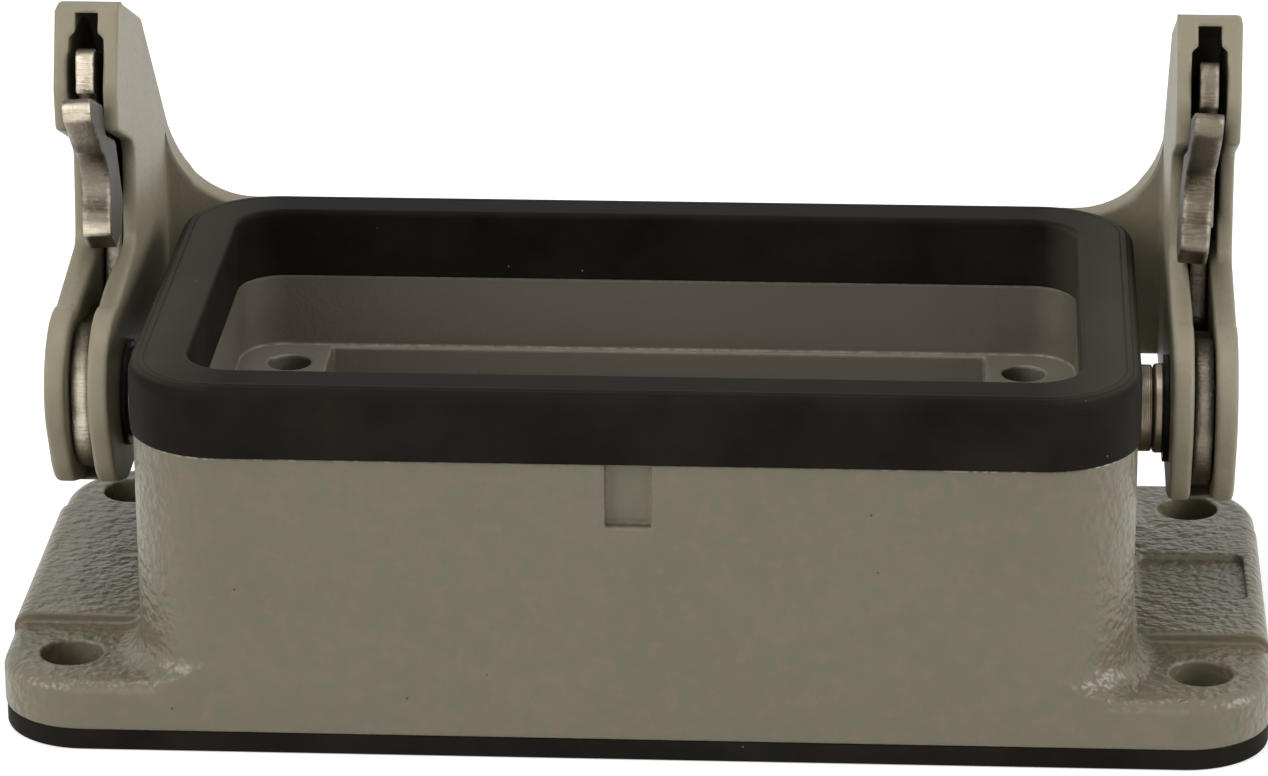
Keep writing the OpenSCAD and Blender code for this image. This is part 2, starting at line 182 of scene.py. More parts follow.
def makeSpeckGroup():
    # a few round specks, such as dust or pinholes
    tree, given, out = newGroup(
        "specks",
        [("Where", "Vector", None), ("Cells", "Float", 200.0), ("Size", "Float", 0.03),
         ("Share", "Float", 0.2)],
        [("Specks", "Float")])
    cells = put(tree, "TexVoronoi", None, Vector=given["Where"], Scale=given["Cells"])
    room = calc(tree, "SUBTRACT", given["Size"], cells.outputs["Distance"])
    blur = calc(tree, "MULTIPLY", given["Size"], effectLook["speckBlur"])
    near = calc(tree, "DIVIDE", room, blur, clamp=True)
    pick = put(tree, "SeparateColor", None, Color=cells.outputs["Color"]).outputs[0]
    few = calc(tree, "LESS_THAN", pick, given["Share"])
    tree.links.new(calc(tree, "MULTIPLY", near, few), out["Specks"])
    return tree


def makeOutlineGroup():
    # distance to a rectangle with round corners, seen from above: less than 0 inside it
    tree, given, out = newGroup(
        "roundOutline",
        [("Where", "Vector", None), ("Half length", "Float", 0.03), ("Half width", "Float", 0.02),
         ("Corner", "Float", 0.005)],
        [("Distance", "Float")])
    axes = put(tree, "SeparateXYZ", None, Vector=given["Where"]).outputs
    past = []
    for axis, half in ((axes[0], "Half length"), (axes[1], "Half width")):
        reach = calc(tree, "SUBTRACT", given[half], given["Corner"])
        past.append(calc(tree, "SUBTRACT", calc(tree, "ABSOLUTE", axis), reach))
    squares = [calc(tree, "POWER", calc(tree, "MAXIMUM", side, 0.0), 2.0) for side in past]
    outer = calc(tree, "SQRT", calc(tree, "ADD", squares[0], squares[1]))
    inner = calc(tree, "MINIMUM", calc(tree, "MAXIMUM", past[0], past[1]), 0.0)
    total = calc(tree, "SUBTRACT", calc(tree, "ADD", outer, inner), given["Corner"])
    tree.links.new(total, out["Distance"])
    return tree


skinGroup = makeSkinGroup()
edgeGroup = makeEdgeGroup()
stainGroup = makeStainGroup()
speckGroup = makeSpeckGroup()
outlineGroup = makeOutlineGroup()
print("shared effects made")


def newMaterial(name):
    material = bpy.data.materials.new(name)
    material.use_nodes = True
    tree = material.node_tree
    tree.nodes.clear()
    where = put(tree, "TexCoord").outputs["Object"]
    shader = put(tree, "BsdfPrincipled")
    put(tree, "OutputMaterial", None, Surface=shader.outputs[0])
    return material, tree, where, shader


def setPlain(shader, **values):
    for key, value in values.items():
        shader.inputs[key.replace("_", " ")].default_value = value


def bumped(tree, height, distance, normal):
    return put(tree, "Bump", None, Height=height, Distance=distance, Strength=1.0,
               Normal=normal).outputs[0]


def heading(tree):
    # the surface's own direction, as x, y and z
    return put(tree, "SeparateXYZ", None,
               Vector=put(tree, "NewGeometry").outputs["Normal"]).outputs


# housing: coated outside, bare casting in the chamber

sealLow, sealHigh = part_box("rim_seal")

housingLook = {
    "chamberInset": 4.2 * mm,  # from the seal's outside to the chamber's walls
    "chamberCorner": 3.6 * mm,
    "chamberBlend": (0.03 * mm, 0.12 * mm, 1.0, 0.0),
    "upward": (0.55, 0.9),
    "edges": {"Reach": 0.4 * mm, "Break_up": 1300.0},
    # painted highlight: a pale tone laid along rounded edges
    "edgeGlint": (0.5, 0.47, 0.4),
    "patches": {"Patch": 110.0},
    "patchRoughness": 0.06,
    "specular": 0.42,
    # the coat
    "coat": (0.123, 0.106, 0.066),
    "coatDark": (0.112, 0.098, 0.062),
    # how much of the painted edge highlight the coat takes
    "coatEdgeGlint": 0.22,
    "coatRoughness": 0.3,
    "peel": {"Grain": 1350.0, "Swell": 430.0, "Share": 0.75},
    "peelDepth": 0.34 * mm,
    "peelOnWalls": (0.75, 0.98, 1.0, 0.28),
    "mottle": (950.0, 3.0, 0.6),
    "blush": (0.137, 0.105, 0.07),
    "blushShare": (0.52, 0.66, 0.0, 0.8),
    "leaf": (0.107, 0.102, 0.062),
    "leafShare": (0.48, 0.36, 0.0, 0.7),
    "pinholes": {"Cells": 350.0, "Size": 0.04, "Share": 0.4},
    "pinhole": (0.03, 0.026, 0.02),
    "pinholeTint": 0.8,
    "pinholeDepth": 0.2,
    # painted highlight: bright dots along the coat's rounded edge where it ends under the seal
    "rim": (0.42, 0.4, 0.34),
    "rimDrop": 0.08 * mm,
    "rimHalf": 0.06 * mm,
    "rimBlur": 0.1 * mm,
    "rimNoise": (1700.0, 1.0, 0.5),
    "rimDots": (0.54, 0.62),
    "rimEnds": (14 * mm, 34 * mm, 0.1, 0.8),
    # the bare casting
    "bare": (0.122, 0.105, 0.08),
    "bareDark": (0.089, 0.077, 0.058),
    # painted light: a paler tone for the upward faces of the bare casting
    "bareTopLit": (0.185, 0.167, 0.133),
    # how much of the painted edge highlight the bare casting takes
    "bareEdgeGlint": 0.4,
    "bareMetal": 0.3,
    "bareRoughness": 0.5,
    "clouds": (150.0, 5.0, 0.7),
    "cloudRange": (0.4, 0.72),
    "cloudStart": 12 * mm,  # in from the chamber's end walls
    "cloudFull": 3 * mm,
    "cloudShare": (0.15, 0.9),
    # noise that breaks up the painted light on upward faces
    "topLightNoise": (900.0, 4.0, 0.7),
    "topLightShare": (0.3, 0.7, 0.75, 1.0),
    "cast": {"Grain": 4200.0, "Swell": 700.0, "Share": 0.6},
    "castDepth": 0.12,
}

chamberHalf = (sealHigh.x - housingLook["chamberInset"], sealHigh.y - housingLook["chamberInset"])


def makeHousingMaterial():
    look = housingLook
    material, tree, where, shader = newMaterial("coatedCasting")
    axes = put(tree, "SeparateXYZ", None, Vector=where).outputs
    facing = heading(tree)
    away = place(tree, outlineGroup, Where=where, Half_length=chamberHalf[0],
                 Half_width=chamberHalf[1], Corner=look["chamberCorner"])["Distance"]
    inside = ramp(tree, away, *look["chamberBlend"])
    outside = calc(tree, "SUBTRACT", 1.0, inside)
    upward = ramp(tree, facing[2], *look["upward"])
    alongX = calc(tree, "ABSOLUTE", axes[0])
    soft = place(tree, edgeGroup, Where=where, **look["edges"])
    edge = soft["Edge"]

    # the coat
    peel = place(tree, skinGroup, Where=where, **look["peel"])
    patches = place(tree, stainGroup, Where=where, **look["patches"])["Patches"]
    holes = place(tree, speckGroup, Where=where, **look["pinholes"])["Specks"]
    coat = mixColour(tree, patches, look["coat"], look["coatDark"])
    # painted highlight: the coat lighter along its rounded edges
    coat = mixColour(tree, calc(tree, "MULTIPLY", edge, look["coatEdgeGlint"]), coat, look["edgeGlint"])
    mottle = noise(tree, where, *look["mottle"])
    coat = mixColour(tree, ramp(tree, mottle, *look["blushShare"]), coat, look["blush"])
    coat = mixColour(tree, ramp(tree, mottle, *look["leafShare"]), coat, look["leaf"])
    # painted highlight: a dotted band just under the seal
    dots = ramp(tree, noise(tree, where, *look["rimNoise"]), *look["rimDots"])
    rimBand = stripe(tree, axes[2], sealLow.z - look["rimDrop"], look["rimHalf"], look["rimBlur"])
    rimEnds = ramp(tree, alongX, *look["rimEnds"])
    rimDots = calc(tree, "MULTIPLY", calc(tree, "MULTIPLY", dots, rimBand), rimEnds)
    coat = mixColour(tree, rimDots, coat, look["rim"])
    coat = mixColour(tree, calc(tree, "MULTIPLY", holes, look["pinholeTint"]), coat,
                     look["pinhole"])

    # the bare casting
    cloud = ramp(tree, noise(tree, where, *look["clouds"]), *look["cloudRange"])
    nearEnds = ramp(tree, alongX, chamberHalf[0] - look["cloudStart"],
                    chamberHalf[0] - look["cloudFull"], *look["cloudShare"])
    bare = mixColour(tree, calc(tree, "MULTIPLY", cloud, nearEnds), look["bare"], look["bareDark"])
    # painted light: upward faces of the bare casting lighter, broken up by noise
    topLightNoise = ramp(tree, noise(tree, where, *look["topLightNoise"]), *look["topLightShare"])
    bare = mixColour(tree, calc(tree, "MULTIPLY", upward, topLightNoise), bare, look["bareTopLit"])
    # painted highlight: the bare casting lighter along its rounded edges
    bare = mixColour(tree, calc(tree, "MULTIPLY", edge, look["bareEdgeGlint"]), bare, look["edgeGlint"])

    feed(tree, shader, "Base Color", mixColour(tree, inside, coat, bare))
    feed(tree, shader, "Metallic", calc(tree, "MULTIPLY", inside, look["bareMetal"]))
    setPlain(shader, Specular_IOR_Level=look["specular"])
    rough = calc(tree, "ADD", ramp(tree, inside, 0.0, 1.0, look["coatRoughness"],
                                   look["bareRoughness"]),
                 calc(tree, "MULTIPLY", patches, look["patchRoughness"]))
    feed(tree, shader, "Roughness", rough)

    # the peel is deep on the flange and the fillets, shallow on the long flat walls
    level = ramp(tree, calc(tree, "ABSOLUTE", facing[1]), *look["peelOnWalls"])
    cast = place(tree, skinGroup, Where=where, **look["cast"])
    outer = calc(tree, "MULTIPLY", calc(tree, "MULTIPLY", peel["Height"], level), outside)
    inner = calc(tree, "MULTIPLY", cast["Height"],
                 calc(tree, "MULTIPLY", inside, look["castDepth"]))
    sunk = calc(tree, "SUBTRACT", calc(tree, "ADD", outer, inner),
                calc(tree, "MULTIPLY", holes, look["pinholeDepth"]))
    feed(tree, shader, "Normal", bumped(tree, sunk, look["peelDepth"], soft["Normal"]))
    return material


# lever: moulded, a little paler and smoother

leverLook = {
    "body": (0.24, 0.211, 0.146),
    "deep": (0.2, 0.176, 0.12),
    "grain": {"Grain": 2300.0, "Swell": 380.0, "Share": 0.6},
    "grainDepth": 0.06 * mm,
    "patches": {"Patch": 95.0},
    "edges": {"Reach": 0.55 * mm, "Break_up": 700.0},
    # painted highlight along the rounded edges
    "edgeGlint": (0.38, 0.35, 0.28),
    "edgeGlintShare": 0.3,
    "marks": {"Cells": 400.0, "Size": 0.035, "Share": 0.3},
    "scuff": (0.09, 0.078, 0.06),
    "scuffTint": 0.6,
    "flowStretch": (1.0, 1.0, 0.06),
    "flow": (1700.0, 3.0, 0.6),
    "flowRange": (0.3, 0.7),
    "flowTint": 0.4,
    "specular": 0.28,
    "roughness": 0.46,
    "pitRoughness": 0.55,
}


def makeLeverMaterial():
    look = leverLook
    material, tree, where, shader = newMaterial("mouldedLever")
    grain = place(tree, skinGroup, Where=where, **look["grain"])
    patches = place(tree, stainGroup, Where=where, **look["patches"])["Patches"]
    soft = place(tree, edgeGroup, Where=where, **look["edges"])
    marks = place(tree, speckGroup, Where=where, **look["marks"])["Specks"]
    drawn = put(tree, "Mapping", None, Vector=where, Scale=look["flowStretch"]).outputs[0]
    flow = ramp(tree, noise(tree, drawn, *look["flow"]), *look["flowRange"])
    shade = mixColour(tree, patches, look["body"], look["deep"])
    shade = mixColour(tree, calc(tree, "MULTIPLY", flow, look["flowTint"]), shade, look["deep"])
    # painted highlight: lighter along the rounded edges
    shade = mixColour(tree, calc(tree, "MULTIPLY", soft["Edge"], look["edgeGlintShare"]), shade, look["edgeGlint"])
    shade = mixColour(tree, calc(tree, "MULTIPLY", marks, look["scuffTint"]), shade, look["scuff"])
    feed(tree, shader, "Base Color", shade)
    setPlain(shader, Specular_IOR_Level=look["specular"])
    feed(tree, shader, "Roughness", ramp(tree, grain["Pits"], 0.0, 1.0, look["roughness"],
                                         look["pitRoughness"]))
    feed(tree, shader, "Normal", bumped(tree, grain["Height"], look["grainDepth"], soft["Normal"]))
    return material


# rubber of the seal and the gasket

rubberLook = {
    "rubber": (0.0062, 0.005, 0.0038),
    "bloom": (0.0135, 0.0115, 0.009),
    "specular": 0.03,
    "roughness": 0.5,
    "bloomRoughness": 0.58,
    "grain": {"Grain": 3600.0, "Swell": 500.0, "Share": 0.5},
    "grainDepth": 0.012 * mm,
    "patches": {"Patch": 130.0},
    "edges": {"Reach": 0.3 * mm},
    # painted light: paler on the top at both ends, and on the inner wall at the right
    "litTone": (0.042, 0.0375, 0.0265),
    "litShare": (0.0, 1.0, 0.7, 1.0),
    "litEnds": (29 * mm, 35 * mm),
    "litUp": (0.6, 0.95),
    "litInward": (-0.3, -0.9),
    "litRight": (20 * mm, 30 * mm),
    "dustCells": {"Cells": 500.0, "Size": 0.04, "Share": 0.3},
    "dust": (0.34, 0.32, 0.27),
    "dustTint": 0.5,
    # thin mould lines round the top
    "flashInsets": (0.62 * mm, 1.15 * mm),
    "flashCorner": 7.2 * mm,
    "flashStart": 1.0 * mm,  # below the top
    "flashFull": 0.6 * mm,
    "flashHalf": 0.04 * mm,
    "flashBlur": 0.09 * mm,
    "flashHeight": 0.05 * mm,
    "flashTint": 0.5,
}


def makeRubberMaterial(name, flashLines=()):
    look = rubberLook
    material, tree, where, shader = newMaterial(name)
    setPlain(shader, Specular_IOR_Level=look["specular"])
    grain = place(tree, skinGroup, Where=where, **look["grain"])
    patches = place(tree, stainGroup, Where=where, **look["patches"])["Patches"]
    axes = put(tree, "SeparateXYZ", None, Vector=where).outputs
    facing = heading(tree)
    # painted light: upward faces near both ends and the inward face of the right wall
    ends = ramp(tree, calc(tree, "ABSOLUTE", axes[0]), *look["litEnds"])
    laid = calc(tree, "MULTIPLY", ramp(tree, facing[2], *look["litUp"]), ends)
    rightWall = calc(tree, "MULTIPLY", ramp(tree, facing[0], *look["litInward"]),
                     ramp(tree, axes[0], *look["litRight"]))
    litTone = calc(tree, "MULTIPLY", calc(tree, "MAXIMUM", laid, rightWall),
                ramp(tree, patches, *look["litShare"]))
    soft = place(tree, edgeGroup, Where=where, **look["edges"])
    dust = place(tree, speckGroup, Where=where, **look["dustCells"])["Specks"]
    shade = mixColour(tree, patches, look["rubber"], look["bloom"])
    shade = mixColour(tree, litTone, shade, look["litTone"])
    shade = mixColour(tree, calc(tree, "MULTIPLY", dust, look["dustTint"]), shade, look["dust"])
    height = calc(tree, "MULTIPLY", grain["Height"], look["grainDepth"])
    for inset in flashLines:
        away = place(tree, outlineGroup, Where=where, Half_length=sealHigh.x - inset,
                     Half_width=sealHigh.y - inset, Corner=look["flashCorner"] - inset)["Distance"]
        upper = ramp(tree, axes[2], sealHigh.z - look["flashStart"], sealHigh.z - look["flashFull"])
        band = stripe(tree, away, 0.0, look["flashHalf"], look["flashBlur"])
        line = calc(tree, "MULTIPLY", band, upper)
        height = calc(tree, "ADD", height, calc(tree, "MULTIPLY", line, look["flashHeight"]))
        shade = mixColour(tree, calc(tree, "MULTIPLY", line, look["flashTint"]), shade,
                          look["bloom"])
    feed(tree, shader, "Base Color", shade)
    feed(tree, shader, "Roughness", ramp(tree, patches, 0.0, 1.0, look["roughness"],
                                         look["bloomRoughness"]))
    feed(tree, shader, "Normal", bumped(tree, height, 1.0, soft["Normal"]))
    return material


# stamped steel of the catches

steelLook = {
    "clean": (0.56, 0.5, 0.4),
    "dull": (0.36, 0.31, 0.23),
    "dullShare": 0.55,
    "patches": {"Patch": 230.0},
    "edges": {"Reach": 0.7 * mm, "Break_up": 1500.0},
    # painted highlight: clean steel along the rounded edges
    "edgeHighlight": 0.6,
    "roughness": 0.27,
    "dullRoughness": 0.42,
    "tearDepth": 0.12 * mm,
    # painted shade: brown on what faces neither the front nor the back, and in the seat of the peg. The
    # right plate is brown on its fronts as well.
    "browning": {"left": 0.0, "right": 0.84},
    "fronts": (0.6, 0.93),
    "seatBlend": (3.1 * mm, 3.8 * mm, 1.0, 0.0),
    "seatShade": 0.9,
    "brown": (0.052, 0.04, 0.026),
    "brownShare": 0.9,
    # painted shade: the rolled flanks made dark, with little metal
    "cutFaces": (0.5, 0.8, 1.0, 0.0),
    "flankShade": (0.03, 0.025, 0.018),
    "flankShare": 0.9,
    "flankMetal": 0.15,
    "flankRoughness": 0.25,
    "rolledStretch": (1.0, 1.0, 0.1),
    "rolled": (6000.0, 2.0, 0.6),
    "rolledDepth": 0.12,
    # the torn and brushed cut faces
    "scratch": (0.2, 0.17, 0.13),
    "torn": (2300.0, 5.0, 0.72),
    "tornShare": 0.35,
    "tornDepth": 0.45,
    "brushedStretch": (0.1, 1.0, 1.0),
    "brushed": (7000.0, 3.0, 0.6),
    "brushedShare": 0.5,
    "brushedDepth": 0.35,
    "scoreRange": (0.5, 0.66),
}


def makeSteelMaterial(name, browning, seatAt):
    look = steelLook
    material, tree, where, shader = newMaterial(name)
    axes = put(tree, "SeparateXYZ", None, Vector=where).outputs
    facing = heading(tree)
    soft = place(tree, edgeGroup, Where=where, **look["edges"])
    patches = place(tree, stainGroup, Where=where, **look["patches"])["Patches"]
    across = ramp(tree, calc(tree, "ABSOLUTE", facing[0]), *look["cutFaces"])
    flanks = calc(tree, "SUBTRACT", 1.0, across)
    drawn = put(tree, "Mapping", None, Vector=where, Scale=look["brushedStretch"]).outputs[0]
    lines = noise(tree, drawn, *look["brushed"])
    torn = noise(tree, where, *look["torn"])
    tall = put(tree, "Mapping", None, Vector=where, Scale=look["rolledStretch"]).outputs[0]
    rolled = noise(tree, tall, *look["rolled"])
    fronts = ramp(tree, calc(tree, "ABSOLUTE", facing[1]), *look["fronts"])
    gap = put(tree, "VectorMath", {"operation": "DISTANCE"}, i1=(0.0, seatAt[1], seatAt[2]))
    feed(tree, gap, "i0", put(tree, "CombineXYZ", None, Y=axes[1], Z=axes[2]).outputs[0])
    seat = ramp(tree, gap.outputs["Value"], *look["seatBlend"])
    clear = calc(tree, "SUBTRACT", 1.0, calc(tree, "MULTIPLY", seat, look["seatShade"]))
    # the fronts stay bright, everything else takes the painted shade
    bright = calc(tree, "MULTIPLY", calc(tree, "MULTIPLY", fronts, 1.0 - browning), clear)
    turned = calc(tree, "SUBTRACT", 1.0, bright)
    scored = calc(tree, "MULTIPLY", ramp(tree, torn, *look["scoreRange"]), across)
    brushed = calc(tree, "MULTIPLY", ramp(tree, lines, *look["scoreRange"]), across)

    # each layer lies over the ones before it; the brown and the dark flanks are painted shade, and the
    # clean steel laid along the rounded edges is a painted highlight
    shade = look["clean"]
    for mask, share, colour in ((patches, "dullShare", "dull"), (turned, "brownShare", "brown"),
                                (flanks, "flankShare", "flankShade"), (scored, "tornShare", "scratch"),
                                (brushed, "brushedShare", "scratch"),
                                (soft["Edge"], "edgeHighlight", "clean")):
        shade = mixColour(tree, calc(tree, "MULTIPLY", mask, look[share]), shade, look[colour])
    feed(tree, shader, "Base Color", shade)
    feed(tree, shader, "Metallic", ramp(tree, flanks, 0.0, 1.0, 1.0, look["flankMetal"]))
    rough = calc(tree, "ADD", ramp(tree, patches, 0.0, 1.0, look["roughness"],
                                   look["dullRoughness"]),
                 calc(tree, "MULTIPLY", flanks, look["flankRoughness"]))
    feed(tree, shader, "Roughness", rough)
    cut = calc(tree, "ADD", calc(tree, "MULTIPLY", torn, look["tornDepth"]),
               calc(tree, "MULTIPLY", lines, look["brushedDepth"]))
    height = calc(tree, "ADD", calc(tree, "MULTIPLY", cut, across),
                  calc(tree, "MULTIPLY", rolled, look["rolledDepth"]))
    feed(tree, shader, "Normal", bumped(tree, height, look["tearDepth"], soft["Normal"]))
    return material


# turned pins

pinLook = {
    "metal": (0.4, 0.34, 0.25),
    "browning": (0.28, 0.225, 0.155),
    "patches": {"Patch": 420.0},
    "edges": {"Reach": 0.2 * mm},
    "roughness": 0.34,
    "tarnishRoughness": 0.5,
    "latheDepth": 0.006 * mm,
    "lathePitch": 0.14 * mm,
}


def makePinMaterial():
    look = pinLook
    material, tree, where, shader = newMaterial("turnedPin")
    setPlain(shader, Metallic=1.0)
    patches = place(tree, stainGroup, Where=where, **look["patches"])["Patches"]
    soft = place(tree, edgeGroup, Where=where, **look["edges"])
    axes = put(tree, "SeparateXYZ", None, Vector=where).outputs
    lathe = calc(tree, "SINE", calc(tree, "MULTIPLY", axes[0], 2 * math.pi / look["lathePitch"]))
    feed(tree, shader, "Base Color", mixColour(tree, patches, look["metal"], look["browning"]))
    feed(tree, shader, "Roughness", ramp(tree, patches, 0.0, 1.0, look["roughness"],
                                         look["tarnishRoughness"]))
    feed(tree, shader, "Normal", bumped(tree, lathe, look["latheDepth"], soft["Normal"]))
    return material


# bushes: black plastic, with a narrow metal ring on the side of the body

bushLook = {
    "body": (0.0045, 0.0038, 0.0027),
    "rubbed": (0.03, 0.028, 0.024),
    "metal": (0.32, 0.265, 0.19),
    "metalWidth": 0.62 * mm,
    "metalBlend": 0.05 * mm,
    "grain": {"Grain": 3200.0, "Swell": 600.0, "Share": 0.5},
    "grainDepth": 0.02 * mm,
    "edges": {"Reach": 0.2 * mm},
    "specular": 0.1,
    "roughness": 0.42,
    "pitRoughness": 0.55,
}


def makeBushMaterial():
    look = bushLook
    material, tree, where, shader = newMaterial("blackBush")
    grain = place(tree, skinGroup, Where=where, **look["grain"])
    soft = place(tree, edgeGroup, Where=where, **look["edges"])
    axes = put(tree, "SeparateXYZ", None, Vector=where).outputs
    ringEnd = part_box("pivot_bush_right")[0].x + look["metalWidth"]
    ring = ramp(tree, calc(tree, "ABSOLUTE", axes[0]), ringEnd, ringEnd + look["metalBlend"],
                1.0, 0.0)
    shade = mixColour(tree, soft["Edge"], look["body"], look["rubbed"])
    feed(tree, shader, "Base Color", mixColour(tree, ring, shade, look["metal"]))
    feed(tree, shader, "Metallic", ring)
    setPlain(shader, Specular_IOR_Level=look["specular"])
    feed(tree, shader, "Roughness", ramp(tree, grain["Pits"], 0.0, 1.0, look["roughness"],
                                         look["pitRoughness"]))
    feed(tree, shader, "Normal", bumped(tree, grain["Height"], look["grainDepth"], soft["Normal"]))
    return material


def dress(name, material):
    piece = nodes[name]
    for slot in piece.material_slots:
        slot.link = "OBJECT"
        slot.material = material


dress("housing", makeHousingMaterial())
dress("lever_frame", makeLeverMaterial())
dress("rim_seal", makeRubberMaterial("sealRubber", rubberLook["flashInsets"]))
dress("flange_gasket", makeRubberMaterial("gasketRubber"))
seatAt = next(mount["pos_m"] for mount in frame["record"]["mounts"]
              if mount["name"] == "peg_seat_left")
steel = {"left": makeSteelMaterial("stampedSteel", steelLook["browning"]["left"], seatAt),
         "right": makeSteelMaterial("stampedSteelBrowner", steelLook["browning"]["right"], seatAt)}
pinMetal = makePinMaterial()
bushBlack = makeBushMaterial()
for side in ("left", "right"):
    dress("catch_plate_" + side, steel[side])
    dress("pivot_pin_" + side, pinMetal)
    dress("pivot_bush_" + side, bushBlack)
print("CAD pieces dressed")


# rounded edges: outer corners get a real radius, apart from a few tight spots, each given as
# how far in from the piece's high corner it lies, in x, y and z, and its reach, all in mm;
# a spot counts on both sides of the middle

housingSpots = ((13.2, 0.0, 20.7, 4.0), (0.7, 11.0, 21.2, 1.5))
leverSpots = ((2.9, 24.0, 0.8, 3.0), (4.4, 1.5, 33.3, 4.0), (4.4, 1.5, 28.3, 3.5),
              (4.4, 1.5, 18.3, 3.0), (2.9, 24.0, 29.3, 3.0), (2.9, 20.5, 19.3, 1.2))

roundings = {
    "housing": {"width": 0.2 * mm, "tightSpots": housingSpots},
    "lever_frame": {"width": 0.3 * mm, "tightSpots": leverSpots},
    "catch_plate_left": {"width": 0.15 * mm},
    "catch_plate_right": {"width": 0.15 * mm},
    "pivot_pin_left": {"width": 0.15 * mm},
    "pivot_pin_right": {"width": 0.15 * mm},
    "flange_gasket": {"width": 0.12 * mm},
}

edgeLook = {
    "roundedAbove": math.radians(35),  # between two faces
    "smoothBelow": math.radians(38),
    "flatBelow": math.radians(0.25),
    "seamReach": 0.001 * mm,
    "segments": 2,
}


def makeEdgeWeights(name, tightSpots):
    # gives outer corners a bevel weight of 1, and 0 within reach of a tight spot
    tree = bpy.data.node_groups.new("edgeWeights_" + name, "GeometryNodeTree")
    tree.interface.new_socket("Geometry", in_out="INPUT", socket_type="NodeSocketGeometry")
    tree.interface.new_socket("Geometry", in_out="OUTPUT", socket_type="NodeSocketGeometry")
    angle = tree.nodes.new("GeometryNodeInputMeshEdgeAngle").outputs["Signed Angle"]
    weight = calc(tree, "GREATER_THAN", angle, edgeLook["roundedAbove"])
    at = tree.nodes.new("GeometryNodeInputPosition").outputs[0]
    at = put(tree, "VectorMath", {"operation": "ABSOLUTE"}, i0=at).outputs[0]
    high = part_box(name)[1]
    for inX, inY, inZ, reach in tightSpots:
        spot = (high.x - inX * mm, high.y - inY * mm, high.z - inZ * mm)
        gap = put(tree, "VectorMath", {"operation": "DISTANCE"}, i0=at, i1=spot).outputs["Value"]
        weight = calc(tree, "MULTIPLY", weight, calc(tree, "GREATER_THAN", gap, reach * mm))
    store = tree.nodes.new("GeometryNodeStoreNamedAttribute")
    store.data_type = "FLOAT"
    store.domain = "EDGE"
    store.inputs["Name"].default_value = "bevel_weight_edge"
    tree.links.new(tree.nodes.new("NodeGroupInput").outputs[0], store.inputs["Geometry"])
    tree.links.new(weight, store.inputs["Value"])
    tree.links.new(store.outputs[0], tree.nodes.new("NodeGroupOutput").inputs[0])
    return tree


def makeSmoothShading():
    # smooth faces, with hard edges only where two faces meet sharply
    tree = bpy.data.node_groups.new("smoothShading", "GeometryNodeTree")
    tree.interface.new_socket("Geometry", in_out="INPUT", socket_type="NodeSocketGeometry")
    tree.interface.new_socket("Geometry", in_out="OUTPUT", socket_type="NodeSocketGeometry")
    angle = tree.nodes.new("GeometryNodeInputMeshEdgeAngle").outputs["Unsigned Angle"]
    gentle = calc(tree, "LESS_THAN", angle, edgeLook["smoothBelow"])
    shape = tree.nodes.new("NodeGroupInput").outputs[0]
    for domain in ("EDGE", "FACE"):
        step = tree.nodes.new("GeometryNodeSetShadeSmooth")
        step.domain = domain
        tree.links.new(shape, step.inputs["Geometry"])
        if domain == "EDGE":
            tree.links.new(gentle, step.inputs["Shade Smooth"])
        shape = step.outputs[0]
    tree.links.new(shape, tree.nodes.new("NodeGroupOutput").inputs[0])
    return tree


smoothShading = makeSmoothShading()


def roundEdges(name, width, tightSpots=()):
    look = edgeLook
    piece = nodes[name]
    join = piece.modifiers.new("joinSeams", "WELD")
    join.merge_threshold = look["seamReach"]
    flats = piece.modifiers.new("mergeFlats", "DECIMATE")
    flats.decimate_type = "DISSOLVE"
    flats.angle_limit = look["flatBelow"]
    weights = piece.modifiers.new("edgeWeights", "NODES")
    weights.node_group = makeEdgeWeights(name, tightSpots)
    bevel = piece.modifiers.new("roundEdges", "BEVEL")
    bevel.width = width
    bevel.segments = look["segments"]
    bevel.limit_method = "WEIGHT"
    bevel.use_clamp_overlap = False
    smooth = piece.modifiers.new("smoothShading", "NODES")
    smooth.node_group = smoothShading
    even = piece.modifiers.new("evenShading", "WEIGHTED_NORMAL")
    even.keep_sharp = True


for name, cut in roundings.items():
    roundEdges(name, **cut)
print("edges rounded")


# floor, world and lamps

floorLook = {"size": 3.0, "drop": 0.05 * mm, "colour": (0.86, 0.86, 0.86), "glow": 0.42}
white = (1.0, 1.0, 1.0)


def seenDirectly(tree):
    # 1 for what is seen straight, in a reflection or through glass, 0 for what lights the pieces
    path = put(tree, "LightPath").outputs
    return calc(tree, "MAXIMUM", path["Is Camera Ray"],
                calc(tree, "MAXIMUM", path["Is Glossy Ray"], path["Is Transmission Ray"]))


def makeFloor():
    look = floorLook
    shape = bpy.data.meshes.new("floor")
    half = look["size"] / 2
    shape.from_pydata([(-half, -half, 0), (half, -half, 0), (half, half, 0), (-half, half, 0)], [],
                      [(0, 1, 2, 3)])
    floor = bpy.data.objects.new("floor", shape)
    scene.collection.objects.link(floor)
    floor.location.z = -look["drop"]
    material = bpy.data.materials.new("paleFloor")
    material.use_nodes = True
    tree = material.node_tree
    tree.nodes.clear()
    matte = put(tree, "BsdfDiffuse", None, Color=look["colour"])
    glow = put(tree, "Emission", None, Color=white,
               Strength=calc(tree, "MULTIPLY", seenDirectly(tree), look["glow"]))
    total = put(tree, "AddShader", None, i0=matte.outputs[0], i1=glow.outputs[0])
    put(tree, "OutputMaterial", None, Surface=total.outputs[0])
    shape.materials.append(material)


worldLook = {"left": 0.45, "right": 0.3, "reach": 0.9}


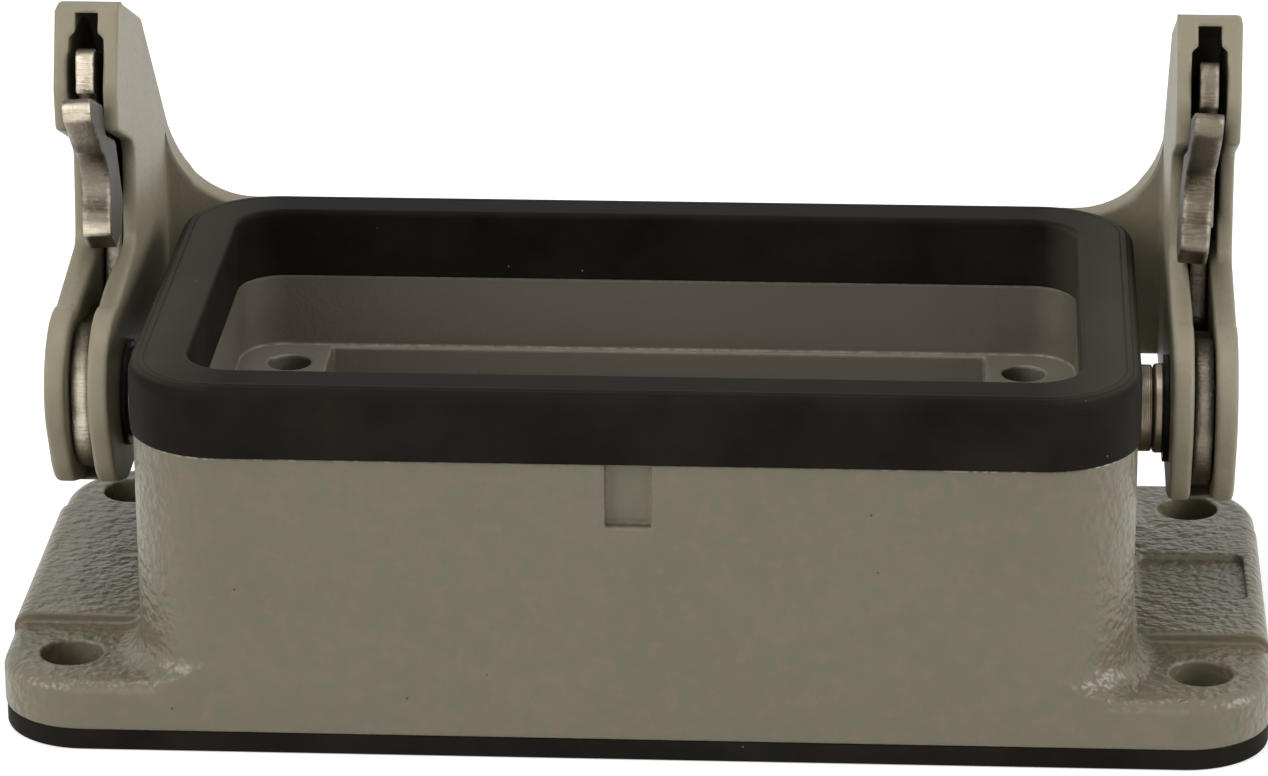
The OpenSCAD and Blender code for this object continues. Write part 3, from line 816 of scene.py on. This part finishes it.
def makeWorld():
    look = worldLook
    world = bpy.data.worlds.new("studio")
    scene.world = world
    world.use_nodes = True
    tree = world.node_tree
    tree.nodes.clear()
    around = put(tree, "TexCoord").outputs["Generated"]
    toward = put(tree, "SeparateXYZ", None, Vector=around).outputs
    level = ramp(tree, toward[0], -look["reach"], look["reach"], look["left"], look["right"])
    plain = put(tree, "Background", None, Color=white, Strength=level)
    shown = put(tree, "Background", None, Color=white, Strength=1.0)
    both = put(tree, "MixShader", None, i0=seenDirectly(tree), i1=plain.outputs[0],
               i2=shown.outputs[0])
    put(tree, "OutputWorld", None, Surface=both.outputs[0])


lampAim = Vector((0, 0, 20 * mm))
lamps = {
    "leftSoftbox": {"at": (-0.6, -0.38, 0.34), "size": 0.42, "power": 3.6},
    "rightSoftbox": {"at": (0.62, -0.12, 0.28), "size": 0.4, "power": 3.5},
    "frontFill": {"at": (-0.1, -0.85, 0.35), "size": 0.5, "power": 1.3},
    "topSoftbox": {"at": (-0.08, -0.05, 0.75), "size": 0.2, "power": 1.4},
}


def makeLamps():
    for name, look in lamps.items():
        light = bpy.data.lights.new(name, "AREA")
        light.shape = "SQUARE"
        light.size = look["size"]
        light.energy = look["power"]
        lamp = bpy.data.objects.new(name, light)
        scene.collection.objects.link(lamp)
        lamp.location = look["at"]
        aim = lampAim - lamp.location
        lamp.rotation_euler = aim.to_track_quat("-Z", "Y").to_euler()


view = {
    "azimuth": 3.515,
    "elevation": 20.867,
    "roll": -0.348,
    "distance": 424.505 * mm,
    "aim": Vector((-0.827 * mm, 0.0, 20.832 * mm)),
    "lens": 160.52,
    "sensor": 36,
    "nearest": 10 * mm,
}


def makeCamera():
    look = view
    turn, rise, roll = (math.radians(look[key]) for key in ("azimuth", "elevation", "roll"))
    back = Vector((math.sin(turn) * math.cos(rise), -math.cos(turn) * math.cos(rise),
                   math.sin(rise)))
    right = (-back).cross(Vector((0, 0, 1))).normalized()
    up = right.cross(-back)
    levelled = right * math.cos(roll) + up * math.sin(roll)
    upright = up * math.cos(roll) - right * math.sin(roll)
    lens = bpy.data.cameras.new("camera")
    lens.lens = look["lens"]
    lens.sensor_width = look["sensor"]
    lens.clip_start = look["nearest"]
    camera = bpy.data.objects.new("camera", lens)
    scene.collection.objects.link(camera)
    pose = Matrix((levelled, upright, back)).transposed().to_4x4()
    pose.translation = look["aim"] + back * look["distance"]
    camera.matrix_world = pose
    scene.camera = camera


makeFloor()
makeWorld()
makeLamps()
makeCamera()
scene.view_settings.view_transform = "Standard"
print("floor, lamps and camera set")
